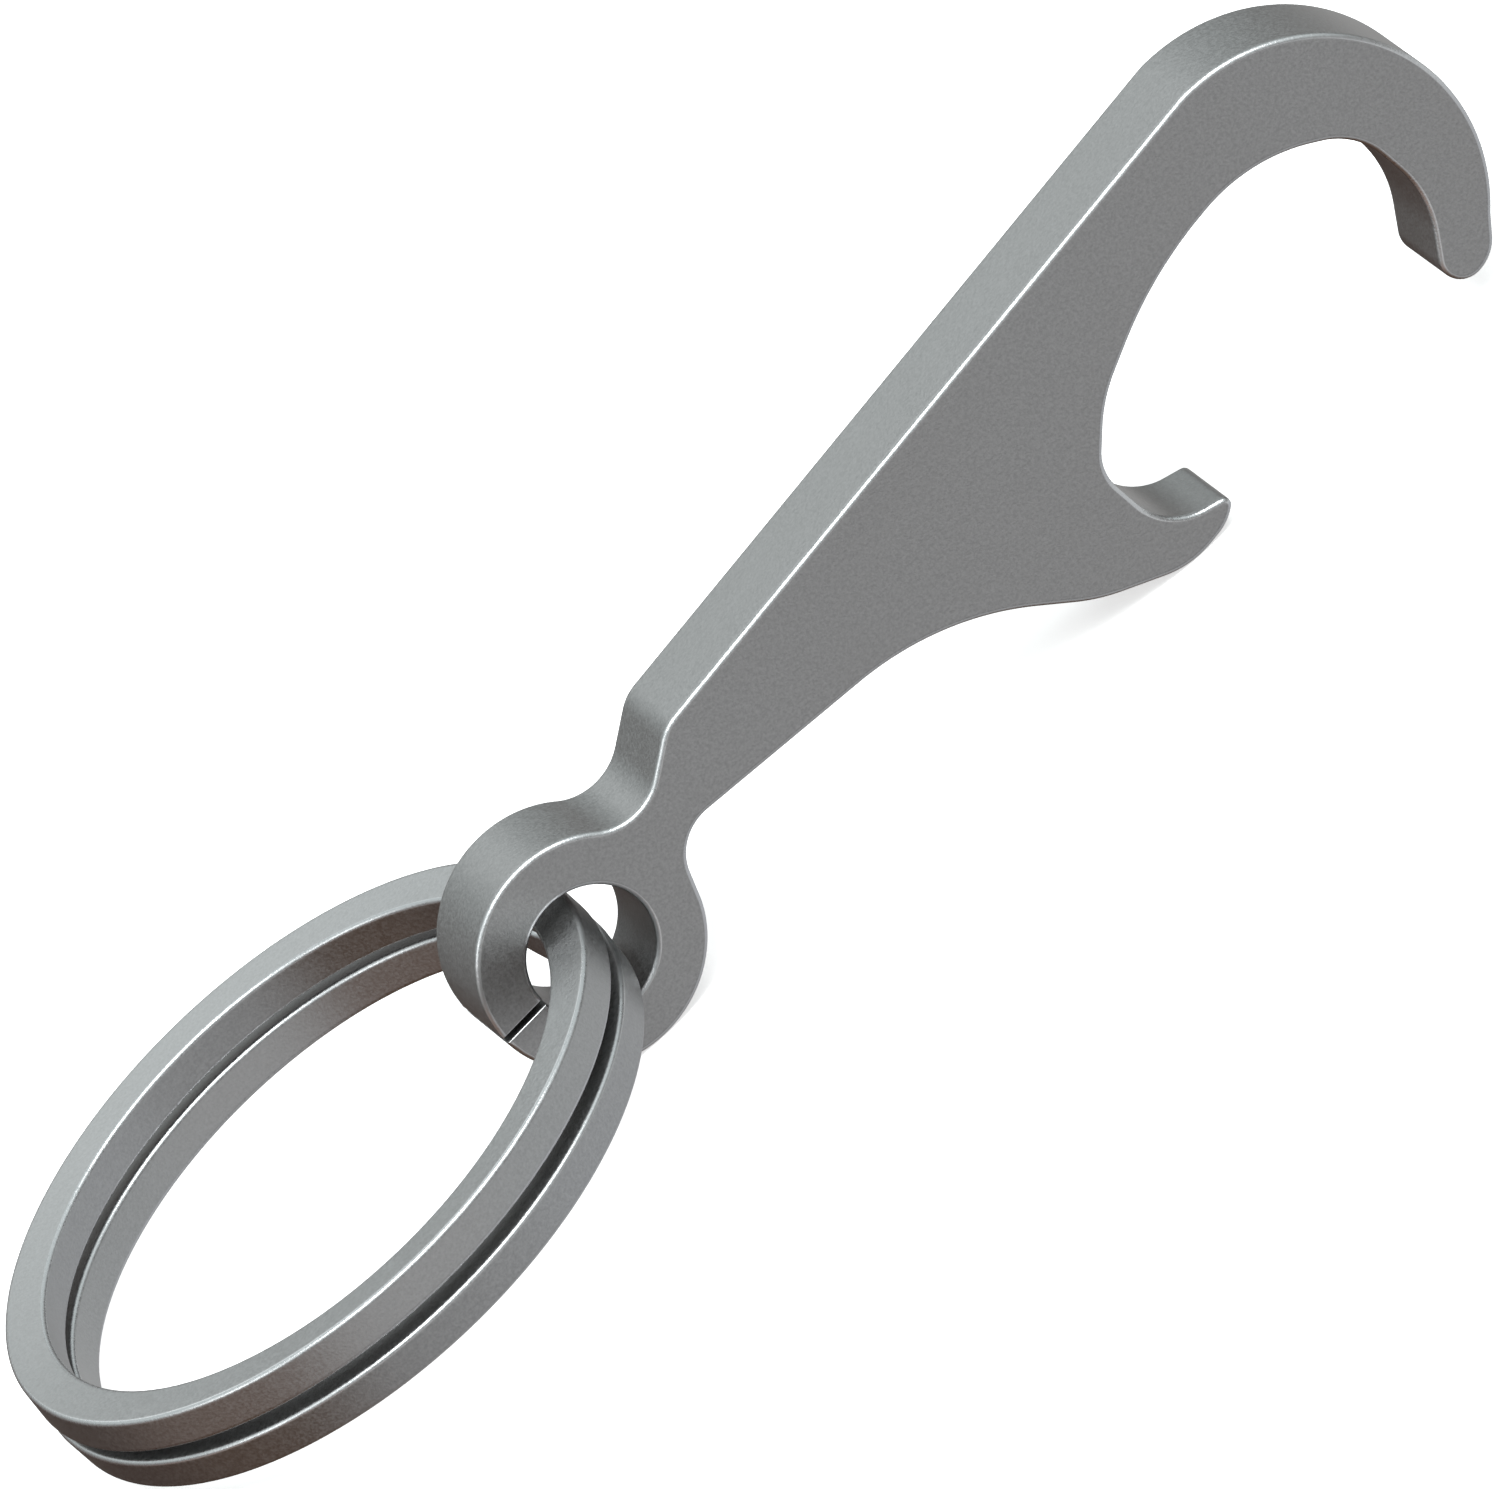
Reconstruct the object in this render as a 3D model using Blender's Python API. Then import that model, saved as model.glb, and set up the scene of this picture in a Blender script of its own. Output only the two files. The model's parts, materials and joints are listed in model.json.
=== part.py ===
# Keychain bottle opener: a one-piece flat opener, with a hook, a prying tooth and an eye,
# and a two-coil split key ring of flat wire that runs through the eye.
#
# Metres, +Z up. The opener stands on edge, on the round of its eye and the belly of its tooth.
# X runs along it towards the hook, Y from its front face to its back face. The origin is under
# the middle of the whole object, on the surface that it stands on.

import math

import bpy
import bmesh
from mathutils import Matrix, Vector

mm = 0.001

# Every length below is in millimetres. The curves are drawn in them too, and the finished meshes
# are scaled to metres.

# Opener plate. Its drawing has x along the spine towards the hook and y towards the spine,
# measured from the centre of the eye.
plate_thickness = 5.0
edge_chamfer = 0.2
eye_radius = 5.4
hole_radius = 3.0
slit_width = 0.3
slit_angle = math.radians(174.5)       # saw cut through the eye's wall, away from the hook
spine_height = 4.2
hook_radius = 8.74
hook_centre = Vector((43.79, -4.5))
hook_end_angle = math.radians(-49.0)
neck_top_angle = math.radians(42.0)    # where the eye's circle turns into the neck, spine side
neck_low_angle = math.radians(-28.0)   # and tooth side
belly_bottom = -10.78
belly_radius = 4.3
cavity_left = 30.0
cavity_right = 48.25
cavity_roof = -0.27
hook_tip_left = 46.2
hook_tip_bottom = -12.5
arc_step = math.radians(9.0)           # largest turn from one facet to the next

# Split key ring
ring_radius = 16.0                # outside
ring_width = 2.1                  # of the flat wire, across the ring
coil_height = 1.88                # of one coil, along the ring's axis
coil_gap = 0.47                   # at the middle of the wire
coil_lean = math.radians(4.5)     # each coil's inner edge leans towards the other coil
wire_chamfer = 0.18
ramp_start = math.radians(9.0)    # the wire steps from one coil to the other here,
ramp_end = math.radians(27.0)     # beside the eye on the back
end_gap = 0.35                    # between a wire end and the ramp
coil_steps = 64                   # stations in a full turn

# How the two pieces lie together
ring_offset = 14.84               # from the eye's centre to the ring's centre
ring_dip = math.radians(3.7)      # the ring slopes down from the eye by this
ring_shift = 0.77                 # and lies this far towards the back face

# The plate stands on two rounds, the eye and the belly of the tooth: their common tangent is level
belly_x = 30.72
belly_y = belly_bottom + belly_radius
belly_span = math.hypot(belly_x, belly_y)
stand_angle = math.asin((belly_radius - eye_radius) / belly_span) - math.atan2(belly_y, belly_x)

# The eye's centre, with the whole object centred on X and Y
ring_height = 2 * coil_height + coil_gap
ring_reach = (ring_offset + ring_radius) * math.cos(ring_dip) + ring_height / 2 * math.sin(ring_dip)
hook_reach = hook_centre.x * math.cos(stand_angle) - hook_centre.y * math.sin(stand_angle) + hook_radius
eye_centre = Vector(((ring_reach - hook_reach) / 2, -ring_shift, eye_radius)) * mm


def clear_scene():
    for old in list(bpy.data.objects):
        bpy.data.objects.remove(old, do_unlink=True)


def new_collection(name):
    collection = bpy.data.collections.new(name)
    bpy.context.scene.collection.children.link(collection)
    return collection


def metal(name, colour, roughness):
    material = bpy.data.materials.new(name)
    material.use_nodes = True
    shader = material.node_tree.nodes["Principled BSDF"]
    shader.inputs["Base Color"].default_value = (*colour, 1.0)
    shader.inputs["Metallic"].default_value = 1.0
    shader.inputs["Roughness"].default_value = roughness
    return material


def arc(centre, radius, start, end):
    # Points on a circle, from one angle to another, at most arc_step apart
    steps = max(1, math.ceil(abs(end - start) / arc_step))
    points = []
    for i in range(steps + 1):
        angle = start + (end - start) * i / steps
        points.append(Vector((centre[0] + radius * math.cos(angle), centre[1] + radius * math.sin(angle))))
    return points


def rounded(before, corners, after):
    # The corners of a polyline, each rounded by an arc that is tangent to both of its sides.
    # before and after are the points that the polyline comes from and goes to.
    places = [before] + [Vector((x, y)) for x, y, radius in corners] + [after]
    points = []
    for i, (x, y, radius) in enumerate(corners):
        corner = places[i + 1]
        way_in = (corner - places[i]).normalized()
        way_out = (places[i + 2] - corner).normalized()
        turn = math.atan2(way_in.cross(way_out), way_in.dot(way_out))
        side = math.copysign(1.0, turn)
        reach = radius * math.tan(abs(turn) / 2)
        centre = corner - way_in * reach + Vector((-way_in.y, way_in.x)) * side * radius
        start = math.atan2(way_in.y, way_in.x) - side * math.pi / 2
        points += arc(centre, radius, start, start + turn)
    return points


def plate_outline():
    # One closed loop, anticlockwise: round the eye to the slit, in along the slit, round the hole,
    # out again, then the underside, the tooth, the cavity, the hook, the spine and the neck.
    centre = Vector((0.0, 0.0))
    outer_half = math.asin(slit_width / 2 / eye_radius)
    inner_half = math.asin(slit_width / 2 / hole_radius)
    eye_top = arc(centre, eye_radius, neck_top_angle, slit_angle - outer_half)
    hole = arc(centre, hole_radius, slit_angle - inner_half, slit_angle + inner_half - 2 * math.pi)
    eye_low = arc(centre, eye_radius, slit_angle + outer_half, neck_low_angle + 2 * math.pi)
    spine_meets_hook = math.asin((spine_height - hook_centre.y) / hook_radius)
    hook = arc(hook_centre, hook_radius, hook_end_angle, spine_meets_hook)
    # Each corner is x, y and the radius that rounds it
    underside = [
        (6.15, 0.4, 2.3),                          # hollow of the neck
        (20.75, -2.76, 14.0),                      # hollow sweep down to the tooth
        (25.72, -8.31, 9.0),                       # swell of the belly
        (29.45, belly_bottom, belly_radius),       # belly, which it stands on
        (31.9, belly_bottom, 2.3),                 # under the tooth's lip
        (33.12, -9.98, 0.3),                       # lip of the tooth
        (cavity_left, -8.25, 1.4),                 # behind the lip
        (cavity_left, -4.44, 2.2),                 # back of the cavity
        (32.55, -2.25, 7.0),                       # long roof of the cavity
        (37.95, cavity_roof, 18.0),
        (44.5, cavity_roof, 8.0),
        (cavity_right, -3.55, 3.5),                # inside of the hook
        (cavity_right, -8.1, 2.5),
        (hook_tip_left, -10.95, 1.2),              # inside of the hook's tip
        (hook_tip_left, hook_tip_bottom, 1.15),    # tip of the hook
        (48.25, hook_tip_bottom, 1.9),
    ]
    neck_top = [
        (9.48, spine_height, 2.2),                 # end of the spine
        (5.57, 1.86, 2.7),                         # hollow between spine and eye
    ]
    points = eye_top + hole + eye_low
    points += rounded(eye_low[-1], underside, hook[0]) + hook
    points += rounded(hook[-1], neck_top, eye_top[0])
    return points


def spline_curve(name, dimensions, points, closed, tilts=None):
    curve = bpy.data.curves.new(name, "CURVE")
    curve.dimensions = dimensions
    spline = curve.splines.new("POLY")
    spline.points.add(len(points) - 1)
    for i, point in enumerate(points):
        spline.points[i].co = (*point.to_3d(), 1.0)
        spline.points[i].tilt = tilts[i] if tilts else 0.0
    spline.use_cyclic_u = closed
    return bpy.data.objects.new(name, curve)


def solid_from_curve(curve_object, name, collection):
    # Turns a curve drawn in millimetres into a mesh object in metres in the same place, with its
    # caps joined on and its flat faces whole
    bpy.context.view_layer.update()
    evaluated = curve_object.evaluated_get(bpy.context.evaluated_depsgraph_get())
    mesh = bpy.data.meshes.new_from_object(evaluated)
    mesh.name = name
    work = bmesh.new()
    work.from_mesh(mesh)
    bmesh.ops.remove_doubles(work, verts=work.verts, dist=0.001)
    bmesh.ops.dissolve_limit(work, angle_limit=math.radians(1.0), verts=work.verts, edges=work.edges)
    bmesh.ops.recalc_face_normals(work, faces=work.faces)
    bmesh.ops.scale(work, vec=(mm, mm, mm), verts=work.verts)
    work.to_mesh(mesh)
    work.free()
    mesh.materials.clear()
    solid = bpy.data.objects.new(name, mesh)
    collection.objects.link(solid)
    solid.matrix_world = curve_object.matrix_world
    bpy.data.objects.remove(curve_object, do_unlink=True)
    return solid


def make_opener(parts, material):
    outline = spline_curve("opener_outline", "2D", plate_outline(), closed=True)
    outline.data.fill_mode = "BOTH"
    outline.data.extrude = plate_thickness / 2 - edge_chamfer
    outline.data.bevel_depth = edge_chamfer
    outline.data.bevel_resolution = 0
    outline.data.offset = -edge_chamfer
    parts.objects.link(outline)
    stand = Matrix.Rotation(-stand_angle, 4, "Y") @ Matrix.Rotation(math.pi / 2, 4, "X")
    outline.matrix_world = Matrix.Translation(eye_centre) @ stand
    opener = solid_from_curve(outline, "opener_body", parts)
    opener.data.materials.append(material)
    opener.data.shade_smooth()
    opener.data.set_sharp_from_angle(angle=math.radians(30.0))
    return opener


def ring_path():
    # The middle of the wire: a turn on the lower level, the ramp, and a turn on the upper level.
    # Angles run round from the side of the eye, first towards the back. The tilt at each point
    # leans the wire one way on the lower level and the other way on the upper level.
    middle = ring_radius - ring_width / 2
    level = (coil_height + coil_gap) / 2
    end_angle = end_gap / middle
    first = ramp_end + end_angle
    last = ramp_start - end_angle + 4 * math.pi
    ramp_low = ramp_start + 2 * math.pi
    ramp_high = ramp_end + 2 * math.pi
    steps = round((last - first) / (2 * math.pi) * coil_steps)
    points = []
    tilts = []
    for i in range(steps + 1):
        angle = first + (last - first) * i / steps
        climb = min(1.0, max(0.0, (angle - ramp_low) / (ramp_high - ramp_low)))
        eased = climb * climb * (3.0 - 2.0 * climb)
        points.append(Vector((middle * math.cos(angle), middle * math.sin(angle), level * (2 * eased - 1))))
        tilts.append(coil_lean * (1 - 2 * eased))
    return points, tilts


def wire_section():
    # A rectangle with cut corners
    half_width = ring_width / 2
    half_height = coil_height / 2
    points = []
    for x_side, y_side, flat_first in ((1, 1, True), (-1, 1, False), (-1, -1, True), (1, -1, False)):
        along_x = Vector((x_side * (half_width - wire_chamfer), y_side * half_height))
        along_y = Vector((x_side * half_width, y_side * (half_height - wire_chamfer)))
        points += [along_y, along_x] if flat_first else [along_x, along_y]
    return points


def make_ring(parts, guides, material):
    swivel = bpy.data.objects.new("ring_swivel", None)
    guides.objects.link(swivel)
    swivel.matrix_world = Matrix.Translation(eye_centre) @ Matrix.Rotation(-ring_dip, 4, "Y")
    section = spline_curve("wire_section", "2D", wire_section(), closed=True)
    guides.objects.link(section)
    section.hide_render = True
    section.display_type = "WIRE"
    points, tilts = ring_path()
    wire = spline_curve("ring_wire", "3D", points, closed=False, tilts=tilts)
    wire.data.twist_mode = "Z_UP"
    wire.data.bevel_mode = "OBJECT"
    wire.data.bevel_object = section
    wire.data.use_fill_caps = True
    parts.objects.link(wire)
    wire.matrix_world = swivel.matrix_world @ Matrix.Translation(Vector((-ring_offset, ring_shift, 0.0)) * mm)
    ring = solid_from_curve(wire, "key_ring", parts)
    ring.parent = swivel
    ring.matrix_parent_inverse = swivel.matrix_world.inverted()
    ring.data.materials.append(material)
    ring.data.shade_smooth()
    ring.data.set_sharp_from_angle(angle=math.radians(30.0))
    return ring


def main():
    clear_scene()
    parts = new_collection("keychain_bottle_opener")
    guides = new_collection("guides")
    make_opener(parts, metal("blasted_titanium", (0.30, 0.30, 0.30), 0.42))
    make_ring(parts, guides, metal("blasted_titanium_wire", (0.36, 0.37, 0.37), 0.40))


main()
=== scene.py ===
# Finished looks of the keychain bottle opener: the machined titanium plate and its split key ring
import json
import math
import bpy
import numpy as np
from mathutils import Matrix, Vector
from mathutils.geometry import delaunay_2d_cdt


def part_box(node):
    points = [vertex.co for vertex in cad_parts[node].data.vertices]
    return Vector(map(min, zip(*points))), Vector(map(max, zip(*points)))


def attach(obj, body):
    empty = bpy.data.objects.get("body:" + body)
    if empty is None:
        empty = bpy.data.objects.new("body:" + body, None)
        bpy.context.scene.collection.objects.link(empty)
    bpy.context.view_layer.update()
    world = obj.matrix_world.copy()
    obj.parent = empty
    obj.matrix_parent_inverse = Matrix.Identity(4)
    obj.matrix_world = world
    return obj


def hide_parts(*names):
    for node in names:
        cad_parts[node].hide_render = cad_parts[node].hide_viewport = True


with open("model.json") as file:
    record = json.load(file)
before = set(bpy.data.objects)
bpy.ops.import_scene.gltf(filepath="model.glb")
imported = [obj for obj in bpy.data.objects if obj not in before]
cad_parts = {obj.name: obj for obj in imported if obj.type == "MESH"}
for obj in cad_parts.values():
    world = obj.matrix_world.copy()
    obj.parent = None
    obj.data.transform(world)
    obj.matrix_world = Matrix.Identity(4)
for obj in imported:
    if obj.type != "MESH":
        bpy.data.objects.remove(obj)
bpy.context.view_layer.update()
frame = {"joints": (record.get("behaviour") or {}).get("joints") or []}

mm = 0.001
swivel = Vector(frame["joints"][0]["pos_m"])     # centre of the eye, on the plate's mid-plane
print("frame loaded, eye at", [round(value / mm, 2) for value in swivel])

# Shared shape code. Plane curves are arrays of (x, y) points in millimetres.

arcStep = math.radians(0.5)      # of the curves, before evenRun spaces their points
samePlace = 1e-6                 # points nearer than this are one point
fillPlace = 1e-7                 # the same, while a closing face is filled
straightCosine = 0.9             # two sides that turn less than this count as one smooth curve
leastBend = 1e-3                 # keeps the corner formula finite on smooth curves
edgeSteps = 6                    # flats across a broken edge
sharpAngle = math.radians(35.0)  # edges that turn more than this are shaded sharp


def arcPoints(centre, radius, start, end):
    # centre + radius * (cos a, sin a), with the angle a going evenly from start to end
    count = max(2, math.ceil(abs(end - start) / arcStep) + 1)
    a = np.linspace(start, end, count)
    return np.stack([centre[0] + radius * np.cos(a), centre[1] + radius * np.sin(a)], axis=1)


def roundedCorners(before, corners, after):
    # Each corner of a polyline becomes the arc of its radius that touches both of its sides: it starts
    # radius * tan(turn / 2) before the corner and turns from one side's direction to the other's
    places = [Vector(before)] + [Vector((x, y)) for x, y, radius in corners] + [Vector(after)]
    runs = []
    for i, (x, y, radius) in enumerate(corners):
        wayIn = (places[i + 1] - places[i]).normalized()
        wayOut = (places[i + 2] - places[i + 1]).normalized()
        turn = math.atan2(wayIn.cross(wayOut), wayIn.dot(wayOut))
        side = math.copysign(1.0, turn)
        centre = places[i + 1] - wayIn * radius * math.tan(abs(turn) / 2)
        centre += Vector((-wayIn.y, wayIn.x)) * side * radius
        start = math.atan2(wayIn.y, wayIn.x) - side * math.pi / 2
        runs.append(arcPoints(centre, radius, start, start + turn))
    return np.concatenate(runs)


def evenRun(points, spacing, margin):
    # The same curve through its first point and then points that lie the given distance apart along
    # it, all of them at least a margin away from both of its ends
    steps = np.linalg.norm(np.diff(points, axis=0), axis=1)
    reach = np.concatenate([[0.0], np.cumsum(steps)])
    count = math.ceil((reach[-1] - 2 * margin) / spacing) + 1
    where = np.concatenate([[0.0], np.linspace(margin, reach[-1] - margin, count)])
    x = np.interp(where, reach, points[:, 0])
    y = np.interp(where, reach, points[:, 1])
    return np.stack([x, y], axis=1)


def inwardMitre(loop, share):
    # For an anticlockwise loop, how each point moves when each side moves in by its share: the point
    # p with p.n1 = s1 and p.n2 = s2, where n1 and n2 are its two sides' inward normals. Where the
    # sides nearly line up that is s (n1 + n2) / (1 + n1.n2).
    ahead = np.roll(loop, -1, axis=0) - loop
    ahead /= np.linalg.norm(ahead, axis=1)[:, None]
    n2 = np.stack([-ahead[:, 1], ahead[:, 0]], axis=1)
    n1 = np.roll(n2, 1, axis=0)
    s2 = share[:, None]
    s1 = np.roll(share, 1)[:, None]
    c = np.sum(n1 * n2, axis=1)[:, None]
    bend = np.maximum(1.0 - c ** 2, leastBend)
    atCorner = ((s1 - s2 * c) * n1 + (s2 - s1 * c) * n2) / bend
    return np.where(c > straightCosine, s2 * (n1 + n2) / (1.0 + c), atCorner)


def quarterRound(radius, wallMargin, faceMargin):
    # A broken edge from the wall to the face, as each point's distance in from the wall and down from
    # the face: radius (1 - cos t) and radius (1 - sin t), for t from nothing to a quarter turn. One
    # more point lies on each flat, a margin further on, so that the flats are shaded as flat.
    t = np.linspace(0.0, math.pi / 2, edgeSteps + 1)
    fromWall = np.concatenate([[0.0], radius * (1.0 - np.cos(t)), [radius + faceMargin]])
    fromFace = np.concatenate([[radius + wallMargin], radius * (1.0 - np.sin(t)), [0.0]])
    return fromWall, fromFace


def flatEnd(outline, ring, way):
    # Triangles that fill one closing face: they are found on its plane outline and take their points
    # from the mesh's own ring of points; way -1 turns them over
    count = len(ring)
    sides = [(i, (i + 1) % count) for i in range(count)]
    fillInside = 1
    flat = [Vector(point) for point in outline]
    filled = delaunay_2d_cdt(flat, sides, [list(range(count))], fillInside, fillPlace)
    triangles = filled[2]
    origins = [origin[0] for origin in filled[3]]
    return [[int(ring[origins[corner]]) for corner in triangle[::way]] for triangle in triangles]


def loftedMesh(name, rings, flatEnds, edgeBand, body, node, material):
    # rings is an array of loops of points in metres; each loop joins to the next by quads, and the
    # first and last are closed by triangles, found from the plane outlines that flatEnds gives for
    # them. edgeBand says how far each point is on a broken edge.
    loops, count = rings.shape[:2]
    index = np.arange(loops * count).reshape(loops, count)
    nextIndex = np.roll(index, -1, axis=1)
    quads = np.stack([index[:-1], nextIndex[:-1], nextIndex[1:], index[1:]], axis=-1).reshape(-1, 4)
    faces = quads.tolist()
    faces += flatEnd(flatEnds[0], index[0], -1)
    faces += flatEnd(flatEnds[1], index[-1], 1)
    mesh = bpy.data.meshes.new(name)
    mesh.from_pydata(rings.reshape(-1, 3).tolist(), [], faces)
    band = mesh.attributes.new("edgeBand", "FLOAT", "POINT")
    band.data.foreach_set("value", edgeBand.reshape(-1).astype(np.float32))
    mesh.shade_smooth()
    mesh.set_sharp_from_angle(angle=sharpAngle)
    mesh.materials.append(material)
    piece = bpy.data.objects.new(name, mesh)
    bpy.context.scene.collection.objects.link(piece)
    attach(piece, body)
    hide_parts(node)
    print(name, "has", len(faces), "faces")
    return piece


# Short ways to write shader nodes

def addNode(tree, kind, **settings):
    # A new node of this kind with its settings, such as the operation of a math node
    node = tree.nodes.new(kind)
    for key, value in settings.items():
        setattr(node, key, value)
    return node


def feed(tree, socket, value):
    # Another node's output is linked to the socket; a number or a colour is set on it
    if isinstance(value, bpy.types.NodeSocket):
        tree.links.new(value, socket)
    else:
        socket.default_value = value


def addMath(tree, operation, first, second):
    # first + second, first - second or first * second
    node = addNode(tree, "ShaderNodeMath", operation=operation)
    feed(tree, node.inputs[0], first)
    feed(tree, node.inputs[1], second)
    return node.outputs[0]


def addRange(tree, value, between, low=0.0, high=1.0):
    # With s going from 0 to 1 between the two given values: low + (high - low) (3 s^2 - 2 s^3)
    node = addNode(tree, "ShaderNodeMapRange", interpolation_type="SMOOTHSTEP")
    feed(tree, node.inputs["Value"], value)
    feed(tree, node.inputs["From Min"], between[0])
    feed(tree, node.inputs["From Max"], between[1])
    feed(tree, node.inputs["To Min"], low)
    feed(tree, node.inputs["To Max"], high)
    return node.outputs["Result"]


def addNoise(tree, coordinates, scale, detail, roughness=0.5):
    # Fractal noise, from 0 to 1 and mostly near a half
    node = addNode(tree, "ShaderNodeTexNoise")
    tree.links.new(coordinates, node.inputs["Vector"])
    feed(tree, node.inputs["Scale"], scale)
    feed(tree, node.inputs["Detail"], detail)
    feed(tree, node.inputs["Roughness"], roughness)
    return node.outputs["Fac"]


def addMix(tree, factor, first, second):
    # first (1 - factor) + second factor; a plain colour is given as red, green and blue
    colourA, colourB, colourResult = 6, 7, 2      # the colour sockets' places; their names repeat
    node = addNode(tree, "ShaderNodeMix", data_type="RGBA")
    tree.links.new(factor, node.inputs["Factor"])
    for place, colour in ((colourA, first), (colourB, second)):
        feed(tree, node.inputs[place], (*colour, 1.0) if isinstance(colour, tuple) else colour)
    return node.outputs[colourResult]


def shaderGroup(name, inputs, outputs):
    # An empty node group with number sockets: its tree, and its inner ends for inputs and outputs
    group = bpy.data.node_groups.new(name, "ShaderNodeTree")
    for label, value in inputs:
        socket = group.interface.new_socket(name=label, in_out="INPUT", socket_type="NodeSocketFloat")
        socket.default_value = value
    for label in outputs:
        group.interface.new_socket(name=label, in_out="OUTPUT", socket_type="NodeSocketFloat")
    return group, group.nodes.new("NodeGroupInput"), group.nodes.new("NodeGroupOutput")


# Shader groups that both metals share

finish = {
    "grainsPerMetre": 8500.0,
    "dimplesPerMetre": 5200.0,
    "grainShare": 0.65,               # of the grain in the tone; the rest is dimples
    "grainContrast": (0.30, 0.70),    # noise that comes out darkest and lightest
    "patchesPerMetre": 70.0,
    "patchContrast": (0.35, 0.68),
    "streaksPerMetre": 900.0,
    "streakTurn": (0.0, math.radians(35.0), math.radians(20.0)),
    "streakStretch": (0.12, 1.0, 1.0),
    "streakContrast": (0.64, 0.74),
    "streakPatches": (0.45, 0.65),    # patches that hold streaks
    "nicksPerMetre": 2600.0,
    "raggedness": 0.35,
    "edgeContrast": (0.2, 0.6),
}


def makeBlastGrain(settings):
    # Bead blasting: a fine random grain, and coarser dimples where beads struck in clusters, added
    # by their shares
    inputs = [("Grains Per Metre", settings["grainsPerMetre"])]
    inputs += [("Dimples Per Metre", settings["dimplesPerMetre"])]
    tree, given, made = shaderGroup("blastGrain", inputs, ["Tone", "Height"])
    coordinates = addNode(tree, "ShaderNodeTexCoord").outputs["Object"]
    grain = addNoise(tree, coordinates, given.outputs["Grains Per Metre"], detail=2.0, roughness=0.6)
    dimples = addNoise(tree, coordinates, given.outputs["Dimples Per Metre"], detail=1.0)
    grainPart = addMath(tree, "MULTIPLY", grain, settings["grainShare"])
    dimplePart = addMath(tree, "MULTIPLY", dimples, 1.0 - settings["grainShare"])
    both = addMath(tree, "ADD", grainPart, dimplePart)
    tree.links.new(addRange(tree, both, settings["grainContrast"]), made.inputs["Tone"])
    tree.links.new(both, made.inputs["Height"])
    return tree


def makeHandling(settings):
    # Handling: broad cloudy patches where the surface is a little smoother and darker, and a few
    # short rubbed streaks inside them, which are noise stretched along one direction
    inputs = [("Patches Per Metre", settings["patchesPerMetre"])]
    inputs += [("Streaks Per Metre", settings["streaksPerMetre"])]
    tree, given, made = shaderGroup("handling", inputs, ["Patches", "Streaks"])
    coordinates = addNode(tree, "ShaderNodeTexCoord").outputs["Object"]
    patches = addNoise(tree, coordinates, given.outputs["Patches Per Metre"], detail=3.0)
    stretch = addNode(tree, "ShaderNodeMapping")
    stretch.inputs["Rotation"].default_value = settings["streakTurn"]
    stretch.inputs["Scale"].default_value = settings["streakStretch"]
    tree.links.new(coordinates, stretch.inputs["Vector"])
    stretched = stretch.outputs["Vector"]
    lines = addNoise(tree, stretched, given.outputs["Streaks Per Metre"], detail=2.0, roughness=0.7)
    marks = addRange(tree, lines, settings["streakContrast"])
    rubbed = addMath(tree, "MULTIPLY", marks, addRange(tree, patches, settings["streakPatches"]))
    tree.links.new(addRange(tree, patches, settings["patchContrast"]), made.inputs["Patches"])
    tree.links.new(rubbed, made.inputs["Streaks"])
    return tree


def makeBrokenEdge(settings):
    # The broken edges, from the piece's own edgeBand, with a slightly ragged border and small nicks:
    # the band less some noise, with its contrast raised. Under this mask the metal is lightened,
    # partly as a painted highlight, and made smoother.
    tree, given, made = shaderGroup("brokenEdge", [("Ragged", settings["raggedness"])], ["Mask"])
    coordinates = addNode(tree, "ShaderNodeTexCoord").outputs["Object"]
    band = addNode(tree, "ShaderNodeAttribute", attribute_name="edgeBand").outputs["Fac"]
    nicks = addNoise(tree, coordinates, settings["nicksPerMetre"], detail=3.0, roughness=0.65)
    ragged = addMath(tree, "MULTIPLY", nicks, given.outputs["Ragged"])
    mask = addRange(tree, addMath(tree, "SUBTRACT", band, ragged), settings["edgeContrast"])
    tree.links.new(mask, made.inputs["Mask"])
    return tree


blastGrain = makeBlastGrain(finish)
handling = makeHandling(finish)
brokenEdge = makeBrokenEdge(finish)
print("shader groups made")


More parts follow.
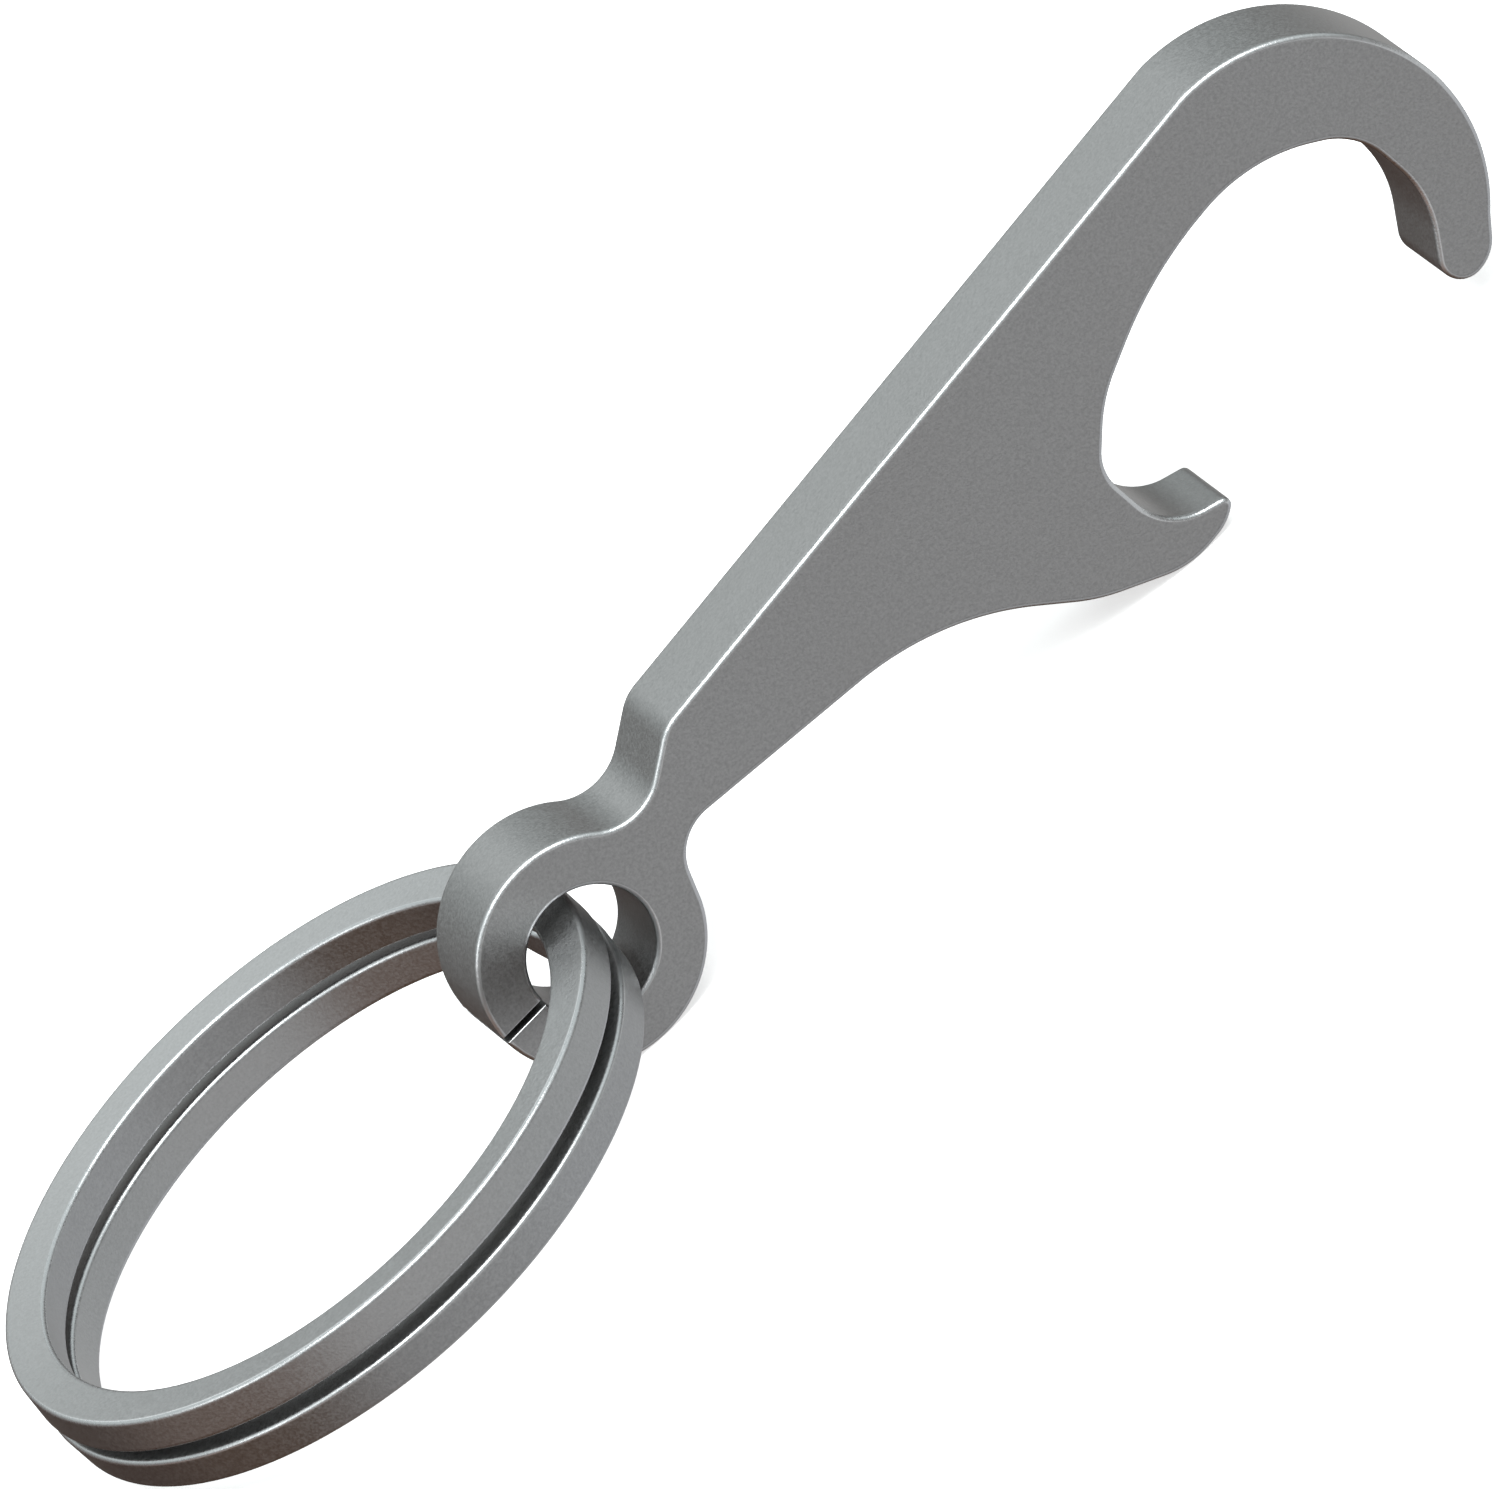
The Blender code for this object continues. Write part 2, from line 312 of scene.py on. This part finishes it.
def blastedMetal(name, look):
    # Titanium grey that the grain lightens and darkens, dulled by handling, and lighter on broken
    # edges: partly their machined finish, partly a painted highlight.
    # Roughness follows the grain, less the patches' and the edges' smoothness.
    material = bpy.data.materials.new(name)
    material.use_nodes = True
    tree = material.node_tree
    shader = tree.nodes["Principled BSDF"]
    shader.inputs["Metallic"].default_value = 1.0
    shader.inputs["Specular Tint"].default_value = (*look["rimTint"], 1.0)
    grain = addNode(tree, "ShaderNodeGroup", node_tree=blastGrain)
    wear = addNode(tree, "ShaderNodeGroup", node_tree=handling)
    edge = addNode(tree, "ShaderNodeGroup", node_tree=brokenEdge)
    speckled = addMix(tree, grain.outputs["Tone"], look["darkTone"], look["lightTone"])
    patchPart = addMath(tree, "MULTIPLY", wear.outputs["Patches"], look["patchShare"])
    worn = addMix(tree, patchPart, speckled, look["patchTone"])
    streakPart = addMath(tree, "MULTIPLY", wear.outputs["Streaks"], look["streakShare"])
    rubbed = addMix(tree, streakPart, worn, look["burnishAndPaintedHighlightTone"])
    # Painted highlight: the broken edges are lightened to this tone, partly for their machined finish
    # and partly to stand in for bright edge highlights
    colour = addMix(tree, edge.outputs["Mask"], rubbed, look["burnishAndPaintedHighlightTone"])
    tree.links.new(colour, shader.inputs["Base Color"])
    grainy = addRange(tree, grain.outputs["Tone"], (0.0, 1.0), look["roughLow"], look["roughHigh"])
    patchSmooth = addMath(tree, "MULTIPLY", wear.outputs["Patches"], look["patchSmoothness"])
    patchy = addMath(tree, "SUBTRACT", grainy, patchSmooth)
    edgeSmooth = addMath(tree, "MULTIPLY", edge.outputs["Mask"], look["roughLow"] - look["edgeRough"])
    tree.links.new(addMath(tree, "SUBTRACT", patchy, edgeSmooth), shader.inputs["Roughness"])
    bump = addNode(tree, "ShaderNodeBump")
    bump.inputs["Strength"].default_value = look["grainBump"]
    bump.inputs["Distance"].default_value = look["grainDepth"]
    tree.links.new(grain.outputs["Height"], bump.inputs["Height"])
    tree.links.new(bump.outputs["Normal"], shader.inputs["Normal"])
    return material


# Opener: a flat plate with a broken edge all round, standing on its eye and its belly. Its outline
# has x along the spine towards the hook and y towards the spine, from the eye's centre.

openerSize = {
    "thickness": 5.0,
    "edgeRadius": 0.25,               # of the broken edges
    "slitEdgeShare": 0.3,             # of that, along the slit
    "edgeMargins": (0.04, 0.03),      # extra points on the wall and on the face
    "cornerMargin": 1.3,              # edge radii kept free of points beside a sharp corner
    "spacing": 0.16,                  # between points of the outline
    "eyeRadius": 5.4,
    "holeRadius": 3.0,
    "slitWidth": 0.3,
    "slitAngle": math.radians(174.5),
    "neckTopAngle": math.radians(42.0),
    "neckLowAngle": math.radians(-28.0),
    "spineHeight": 4.2,
    "hookCentre": (43.79, -4.5),
    "hookRadius": 8.74,
    "hookEndAngle": math.radians(-49.0),
    "bellyX": 30.72,                  # centre of the belly's round, along the spine
    "bellyBottom": -10.78,
    "bellyRadius": 4.3,
    "underside": [                    # x, y and radius of each corner, from the neck to the hook's tip
        (6.15, 0.4, 2.3),             # hollow of the neck
        (20.75, -2.76, 14.0),         # hollow sweep down to the tooth
        (25.72, -8.31, 9.0),          # swell of the belly
        (29.45, -10.78, 4.3),         # belly
        (31.9, -10.78, 2.3),          # under the lip of the tooth
        (33.12, -10.03, 0.36),        # lip
        (29.95, -8.66, 2.9),          # behind the lip
        (30.0, -4.44, 2.2),           # back of the cavity
        (32.55, -2.25, 7.0),          # its long roof
        (37.95, -0.27, 18.0),
        (44.5, -0.27, 8.0),
        (48.35, -3.55, 3.5),          # inside of the hook
        (48.35, -8.1, 5.5),
        (46.2, -10.95, 1.2),          # inside of its tip
        (46.2, -12.5, 1.15),          # tip
        (48.25, -12.5, 1.9),
    ],
    "neckTop": [
        (9.48, 4.2, 2.2),             # end of the spine
        (5.57, 1.86, 2.7),            # hollow before the eye
    ],
}

openerLook = {
    "darkTone": (0.335, 0.338, 0.340),
    "lightTone": (0.435, 0.438, 0.440),
    "patchTone": (0.350, 0.346, 0.342),
    "patchShare": 0.2,
    "patchSmoothness": 0.05,          # less rough in the patches by this much
    "streakShare": 0.10,
    # lighter tone of rubbed streaks and broken edges; on the edges it is partly a painted highlight
    "burnishAndPaintedHighlightTone": (0.62, 0.63, 0.64),
    "rimTint": (0.95, 0.94, 0.93),
    "roughLow": 0.36,
    "roughHigh": 0.46,
    "edgeRough": 0.28,
    "grainBump": 0.35,
    "grainDepth": 0.00004,
}


def standAngle(size):
    # The plate leans until the common tangent of its two rounds, the eye and the belly, is level: the
    # arc sine of the radii's difference over the centres' distance, less the slope between the centres
    rise = size["bellyBottom"] + size["bellyRadius"]
    span = math.hypot(size["bellyX"], rise)
    slope = math.atan2(rise, size["bellyX"])
    return math.asin((size["bellyRadius"] - size["eyeRadius"]) / span) - slope


def plateOutline(size):
    # One anticlockwise loop: round the eye from the slit, the underside, tooth, cavity, hook, spine,
    # neck and eye to the slit again, in, round the hole and out. Each side's share of the broken edge
    # comes with it.
    outerHalf = math.asin(size["slitWidth"] / 2 / size["eyeRadius"])
    innerHalf = math.asin(size["slitWidth"] / 2 / size["holeRadius"])
    slit = size["slitAngle"]
    turn = 2 * math.pi
    eyeTop = arcPoints((0, 0), size["eyeRadius"], size["neckTopAngle"], slit - outerHalf)
    hole = arcPoints((0, 0), size["holeRadius"], slit - innerHalf, slit + innerHalf - turn)
    eyeLow = arcPoints((0, 0), size["eyeRadius"], slit + outerHalf, size["neckLowAngle"] + turn)
    hookStart = math.asin((size["spineHeight"] - size["hookCentre"][1]) / size["hookRadius"])
    hook = arcPoints(size["hookCentre"], size["hookRadius"], size["hookEndAngle"], hookStart)
    below = roundedCorners(eyeLow[-1], size["underside"], hook[0])
    above = roundedCorners(hook[-1], size["neckTop"], eyeTop[0])
    outside = np.concatenate([eyeLow, below, hook, above, eyeTop])
    moved = np.linalg.norm(np.diff(outside, axis=0), axis=1) > samePlace
    outside = outside[np.append(moved, True)]
    slitIn = np.stack([eyeTop[-1], hole[0]])
    slitOut = np.stack([hole[-1], eyeLow[0]])
    margin = size["cornerMargin"] * size["edgeRadius"]
    even = [evenRun(run, size["spacing"], margin) for run in (outside, slitIn, hole, slitOut)]
    shares = [1.0, size["slitEdgeShare"], 1.0, size["slitEdgeShare"]]
    share = np.concatenate([np.full(len(run), part) for run, part in zip(even, shares)])
    return np.concatenate(even), share


def makeOpener(size, look):
    # Every loop is the outline moved in by the section's inset, at the section's height, from the
    # back face to the front; then drawing (x, y, z) goes to (x cos t - y sin t, -z, x sin t + y cos t)
    outline, share = plateOutline(size)
    mitre = inwardMitre(outline, share)
    top = size["thickness"] / 2
    inset, fromFace = quarterRound(size["edgeRadius"], *size["edgeMargins"])
    inset = np.concatenate([inset[::-1], inset])
    fromFace = np.concatenate([fromFace[::-1], fromFace])
    side = np.where(np.arange(len(inset)) < len(inset) // 2, -1.0, 1.0)
    flatLoops = outline[None] + mitre[None] * inset[:, None, None]
    pointShare = np.minimum(share, np.roll(share, 1))
    height = side[:, None] * (top - fromFace[:, None] * pointShare[None])
    lean = standAngle(size)
    x = flatLoops[..., 0] * math.cos(lean) - flatLoops[..., 1] * math.sin(lean)
    z = flatLoops[..., 0] * math.sin(lean) + flatLoops[..., 1] * math.cos(lean)
    world = np.stack([x, -height, z], axis=-1) * mm + np.array(swivel)
    # The shader lightens this band of the broken edge, partly as a painted highlight
    onEdge = np.sin(np.clip(inset / size["edgeRadius"], 0.0, 1.0) * math.pi) ** 0.5
    edgeBand = np.broadcast_to(onEdge[:, None], x.shape)
    metal = blastedMetal("blastedTitanium", look)
    ends = flatLoops[0], flatLoops[-1]
    return loftedMesh("openerPlate", world, ends, edgeBand, "opener", "opener_body", metal)


makeOpener(openerSize, openerLook)

# Split key ring: one flat wire in two turns, one above the other, that steps up just behind the eye

ringSize = {
    "radius": 16.0,                   # outside
    "wireWidth": 2.1,
    "wireHeight": 1.84,
    "gap": 0.53,                      # between the coils
    "lean": math.radians(4.5),        # each coil's inner edge leans towards the other coil
    "edgeRadius": 0.22,               # of the broken edges
    "edgeMargins": (0.04, 0.04),
    "rampStart": math.radians(9.0),
    "rampEnd": math.radians(27.0),
    "endGap": 0.35,                   # between a wire end and the ramp
    "endRound": 0.15,
    "endSteps": 4,
    "stations": 520,
    "offset": 14.84,                  # from the eye's centre to the ring's centre
    "dip": math.radians(3.7),
}

ringLook = {
    "darkTone": (0.375, 0.380, 0.383),
    "lightTone": (0.475, 0.482, 0.486),
    "patchTone": (0.390, 0.388, 0.385),
    "patchShare": 0.2,
    "patchSmoothness": 0.05,          # less rough in the patches by this much
    "streakShare": 0.12,
    # lighter tone of rubbed streaks and broken edges; on the edges it is partly a painted highlight
    "burnishAndPaintedHighlightTone": (0.62, 0.63, 0.64),
    "rimTint": (0.95, 0.94, 0.93),
    "roughLow": 0.36,
    "roughHigh": 0.46,
    "edgeRough": 0.28,
    "grainBump": 0.35,
    "grainDepth": 0.00004,
}


def wireSection(size):
    # An anticlockwise rectangle with broken edges, as (across, along the ring's axis), and how far
    # each point is on a broken edge: the square root of 2 sin t cos t
    radius = size["edgeRadius"]
    fromWall, fromFace = quarterRound(radius, *size["edgeMargins"])
    quarter = np.stack([size["wireWidth"] / 2 - fromWall, size["wireHeight"] / 2 - fromFace], axis=1)
    cosine = np.clip(1.0 - fromWall / radius, 0.0, 1.0)
    sine = np.clip(1.0 - fromFace / radius, 0.0, 1.0)
    halfLoop = np.concatenate([quarter, quarter[::-1] * [-1.0, 1.0]])
    return np.concatenate([halfLoop, -halfLoop]), np.tile(np.sqrt(2.0 * sine * cosine), 4)


def wireStations(size, middle):
    # Angles round the ring from one end of the wire to the other, and how far the section draws in at
    # each: nothing, but over the last endRound r at both ends r less the height of a quarter circle
    first = size["rampEnd"] + size["endGap"] / middle
    last = size["rampStart"] - size["endGap"] / middle + 4 * math.pi
    r = size["endRound"]
    height = r * np.sin(np.linspace(0.0, math.pi / 2, size["endSteps"] + 1))[:-1]
    advance = (r - np.sqrt(r ** 2 - height ** 2)) / middle
    plain = np.linspace(first + r / middle, last - r / middle, size["stations"])
    a = np.concatenate([first + advance, plain, (last - advance)[::-1]])
    inset = np.concatenate([r - height, np.zeros(size["stations"]), (r - height)[::-1]])
    return a, inset


def makeRing(size, look):
    # The wire's middle goes round at angle a on the lower level, climbs by a smoothstep over the ramp
    # and goes round again on the upper level. A section point (u, v), turned by the lean, is placed
    # at (middle + u) outwards and v square to the climbing wire, whose slope is the climb's own:
    # level * 12 climb (1 - climb) over the ramp's length.
    middle = size["radius"] - size["wireWidth"] / 2
    level = (size["wireHeight"] + size["gap"]) / 2
    a, inset = wireStations(size, middle)
    rampTurn = size["rampEnd"] - size["rampStart"]
    climb = np.clip((a - size["rampStart"] - 2 * math.pi) / rampTurn, 0.0, 1.0)
    upward = 2 * climb ** 2 * (3 - 2 * climb) - 1            # from -1 on the lower coil to 1
    slope = np.arctan(level * 12 * climb * (1 - climb) / rampTurn / middle)
    section, band = wireSection(size)
    mitre = inwardMitre(section, np.ones(len(section)))
    points = section[None] + mitre[None] * inset[:, None, None]
    points = points[:, ::-1]                                 # clockwise, so that faces look outward
    u = points[..., 0]
    v = points[..., 1]
    lean = size["lean"] * upward[:, None]
    out = middle + u * np.cos(lean) - v * np.sin(lean)
    rise = u * np.sin(lean) + v * np.cos(lean)
    along = -rise * np.sin(slope)[:, None]
    cosA = np.cos(a)[:, None]
    sinA = np.sin(a)[:, None]
    x = out * cosA - along * sinA - size["offset"]
    y = out * sinA + along * cosA
    z = level * upward[:, None] + rise * np.cos(slope)[:, None]
    cosDip = math.cos(size["dip"])
    sinDip = math.sin(size["dip"])
    world = np.stack([x * cosDip - z * sinDip, y, x * sinDip + z * cosDip], axis=-1) * mm
    low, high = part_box("key_ring")
    world += np.array([swivel.x, (low.y + high.y) / 2, swivel.z])
    # The rounded wire ends count wholly as broken edge, so the shader lightens them too, partly as a
    # painted highlight
    edgeBand = np.maximum(np.broadcast_to(band[None, ::-1], x.shape), (inset > 0.0)[:, None])
    metal = blastedMetal("blastedWire", look)
    ends = points[0, ::-1], points[-1, ::-1]
    return loftedMesh("splitRing", world, ends, edgeBand, "ring", "key_ring", metal)


makeRing(ringSize, ringLook)

# Studio: a pale floor, soft boxes, and a quiet room for the metal to mirror

studio = {
    "floorHalf": 6.0,
    "floorTone": (0.86, 0.86, 0.86),
    "floorGlow": 0.60,
    "backdrop": (0.95, 0.95, 0.95),     # what the camera itself sees above the floor
    "skyHigh": (0.71, 0.77, 0.77),
    "skyLevel": (0.29, 0.285, 0.28),
    "lowFront": (0.44, 0.44, 0.445),
    "highFront": (0.88, 0.87, 0.87),
    "lowRight": (0.62, 0.63, 0.65),
    "highRight": (0.80, 0.82, 0.82),
    "lowLeft": (0.125, 0.075, 0.050),
    "highLeft": (0.42, 0.31, 0.27),
    "lowBack": (0.080, 0.052, 0.042),
    "highBack": (0.13, 0.10, 0.09),
    "frontWay": (0.86, -0.51, 0.0),
    "rearToFront": (-0.42, 0.08),       # along frontWay
    "frontToRight": (0.15, 0.75),       # along x
    "leftToBack": (0.05, 0.60),         # along y
    "lowToHigh": (-0.52, -0.26),        # these three along z
    "highToLevel": (-0.20, 0.02),
    "levelToSky": (0.15, 0.50),
    "aim": (0.0, 0.0, 0.008),
    "softBoxes": [                      # direction, distance, width, height, brightness
        ((0.06, -0.42, 0.90), 0.9, 1.10, 0.45, 5.0),
        ((-0.86, -0.22, 0.46), 0.9, 0.40, 0.40, 1.5),
        ((-0.05, 0.70, 0.65), 1.1, 0.60, 0.40, 0.8),
    ],
}


def makeFloor(settings):
    # One flat square, pale and faintly lit from within so that shadows on it stay light
    half = settings["floorHalf"]
    floorMesh = bpy.data.meshes.new("floor")
    corners = [(-half, -half, 0), (half, -half, 0), (half, half, 0), (-half, half, 0)]
    floorMesh.from_pydata(corners, [], [(0, 1, 2, 3)])
    floor = bpy.data.objects.new("floor", floorMesh)
    bpy.context.scene.collection.objects.link(floor)
    floor.visible_glossy = False
    material = bpy.data.materials.new("paleFloor")
    material.use_nodes = True
    shader = material.node_tree.nodes["Principled BSDF"]
    shader.inputs["Base Color"].default_value = (*settings["floorTone"], 1.0)
    shader.inputs["Roughness"].default_value = 1.0
    shader.inputs["Specular IOR Level"].default_value = 0.0
    shader.inputs["Emission Color"].default_value = (1.0, 1.0, 1.0, 1.0)
    shader.inputs["Emission Strength"].default_value = settings["floorGlow"]
    floorMesh.materials.append(material)


def makeRoom(settings):
    # The world: bright above, dim grey at eye level; below that brighter grey in front, paler to the
    # right, brown to the left and dark brown behind, all of it darker further down
    world = bpy.data.worlds.new("studioRoom")
    bpy.context.scene.world = world
    world.use_nodes = True
    tree = world.node_tree
    direction = addNode(tree, "ShaderNodeTexCoord").outputs["Generated"]
    facing = addNode(tree, "ShaderNodeVectorMath", operation="DOT_PRODUCT")
    tree.links.new(direction, facing.inputs[0])
    facing.inputs[1].default_value = settings["frontWay"]
    parts = addNode(tree, "ShaderNodeSeparateXYZ")
    tree.links.new(direction, parts.inputs[0])
    height = parts.outputs["Z"]
    inFront = addRange(tree, facing.outputs["Value"], settings["rearToFront"])
    toRight = addRange(tree, parts.outputs["X"], settings["frontToRight"])
    toBack = addRange(tree, parts.outputs["Y"], settings["leftToBack"])
    bands = []
    for label in ("low", "high"):
        front = addMix(tree, toRight, settings[label + "Front"], settings[label + "Right"])
        rear = addMix(tree, toBack, settings[label + "Left"], settings[label + "Back"])
        bands.append(addMix(tree, inFront, rear, front))
    below = addMix(tree, addRange(tree, height, settings["lowToHigh"]), bands[0], bands[1])
    middle = addMix(tree, addRange(tree, height, settings["highToLevel"]), below, settings["skyLevel"])
    whole = addMix(tree, addRange(tree, height, settings["levelToSky"]), middle, settings["skyHigh"])
    fromCamera = addNode(tree, "ShaderNodeLightPath").outputs["Is Camera Ray"]
    seen = addMix(tree, fromCamera, whole, settings["backdrop"])
    tree.links.new(seen, tree.nodes["Background"].inputs["Color"])


def makeSoftBoxes(settings):
    # Each soft box is a flat area light facing the object; its power is brightness * pi * area
    target = Vector(settings["aim"])
    for i, (direction, distance, width, height, brightness) in enumerate(settings["softBoxes"]):
        data = bpy.data.lights.new("softBox%d" % (i + 1), "AREA")
        data.shape = "RECTANGLE"
        data.size = width
        data.size_y = height
        data.energy = brightness * math.pi * width * height
        light = bpy.data.objects.new(data.name, data)
        away = Vector(direction).normalized()
        light.location = target + away * distance
        light.rotation_euler = away.to_track_quat("Z", "Y").to_euler()
        light.visible_camera = False
        bpy.context.scene.collection.objects.link(light)


makeFloor(studio)
makeRoom(studio)
makeSoftBoxes(studio)
print("studio ready")

# Camera: a long lens, tipped so that the opener runs up to the right

cameraView = {
    "azimuth": math.radians(-5.88),
    "elevation": math.radians(26.92),
    "roll": math.radians(-39.18),
    "across": 7.70 * mm,              # from the eye's centre to the middle of the view, to the right
    "upward": 8.26 * mm,              # and up
    "viewWidth": 64.9 * mm,
    "lens": 1000.0,
    "sensor": 36.0,
}


def makeCamera(settings):
    # Spherical angles give the way back from the object; the roll turns the camera about it
    azimuth = settings["azimuth"]
    flat = math.cos(settings["elevation"])
    rise = math.sin(settings["elevation"])
    back = Vector((math.sin(azimuth) * flat, -math.cos(azimuth) * flat, rise))
    level = Vector((math.cos(azimuth), math.sin(azimuth), 0.0))
    right = Matrix.Rotation(settings["roll"], 3, back) @ level
    up = back.cross(right)
    data = bpy.data.cameras.new("camera")
    data.sensor_width = settings["sensor"]
    data.lens = settings["lens"]
    camera = bpy.data.objects.new("camera", data)
    bpy.context.scene.collection.objects.link(camera)
    distance = settings["viewWidth"] * settings["lens"] / settings["sensor"]
    place = swivel + right * settings["across"] + up * settings["upward"] + back * distance
    turn = Matrix((right, up, back)).transposed().to_4x4()
    camera.matrix_world = Matrix.Translation(place) @ turn
    bpy.context.scene.camera = camera


makeCamera(cameraView)
bpy.context.scene.view_settings.view_transform = "Standard"
print("camera ready")
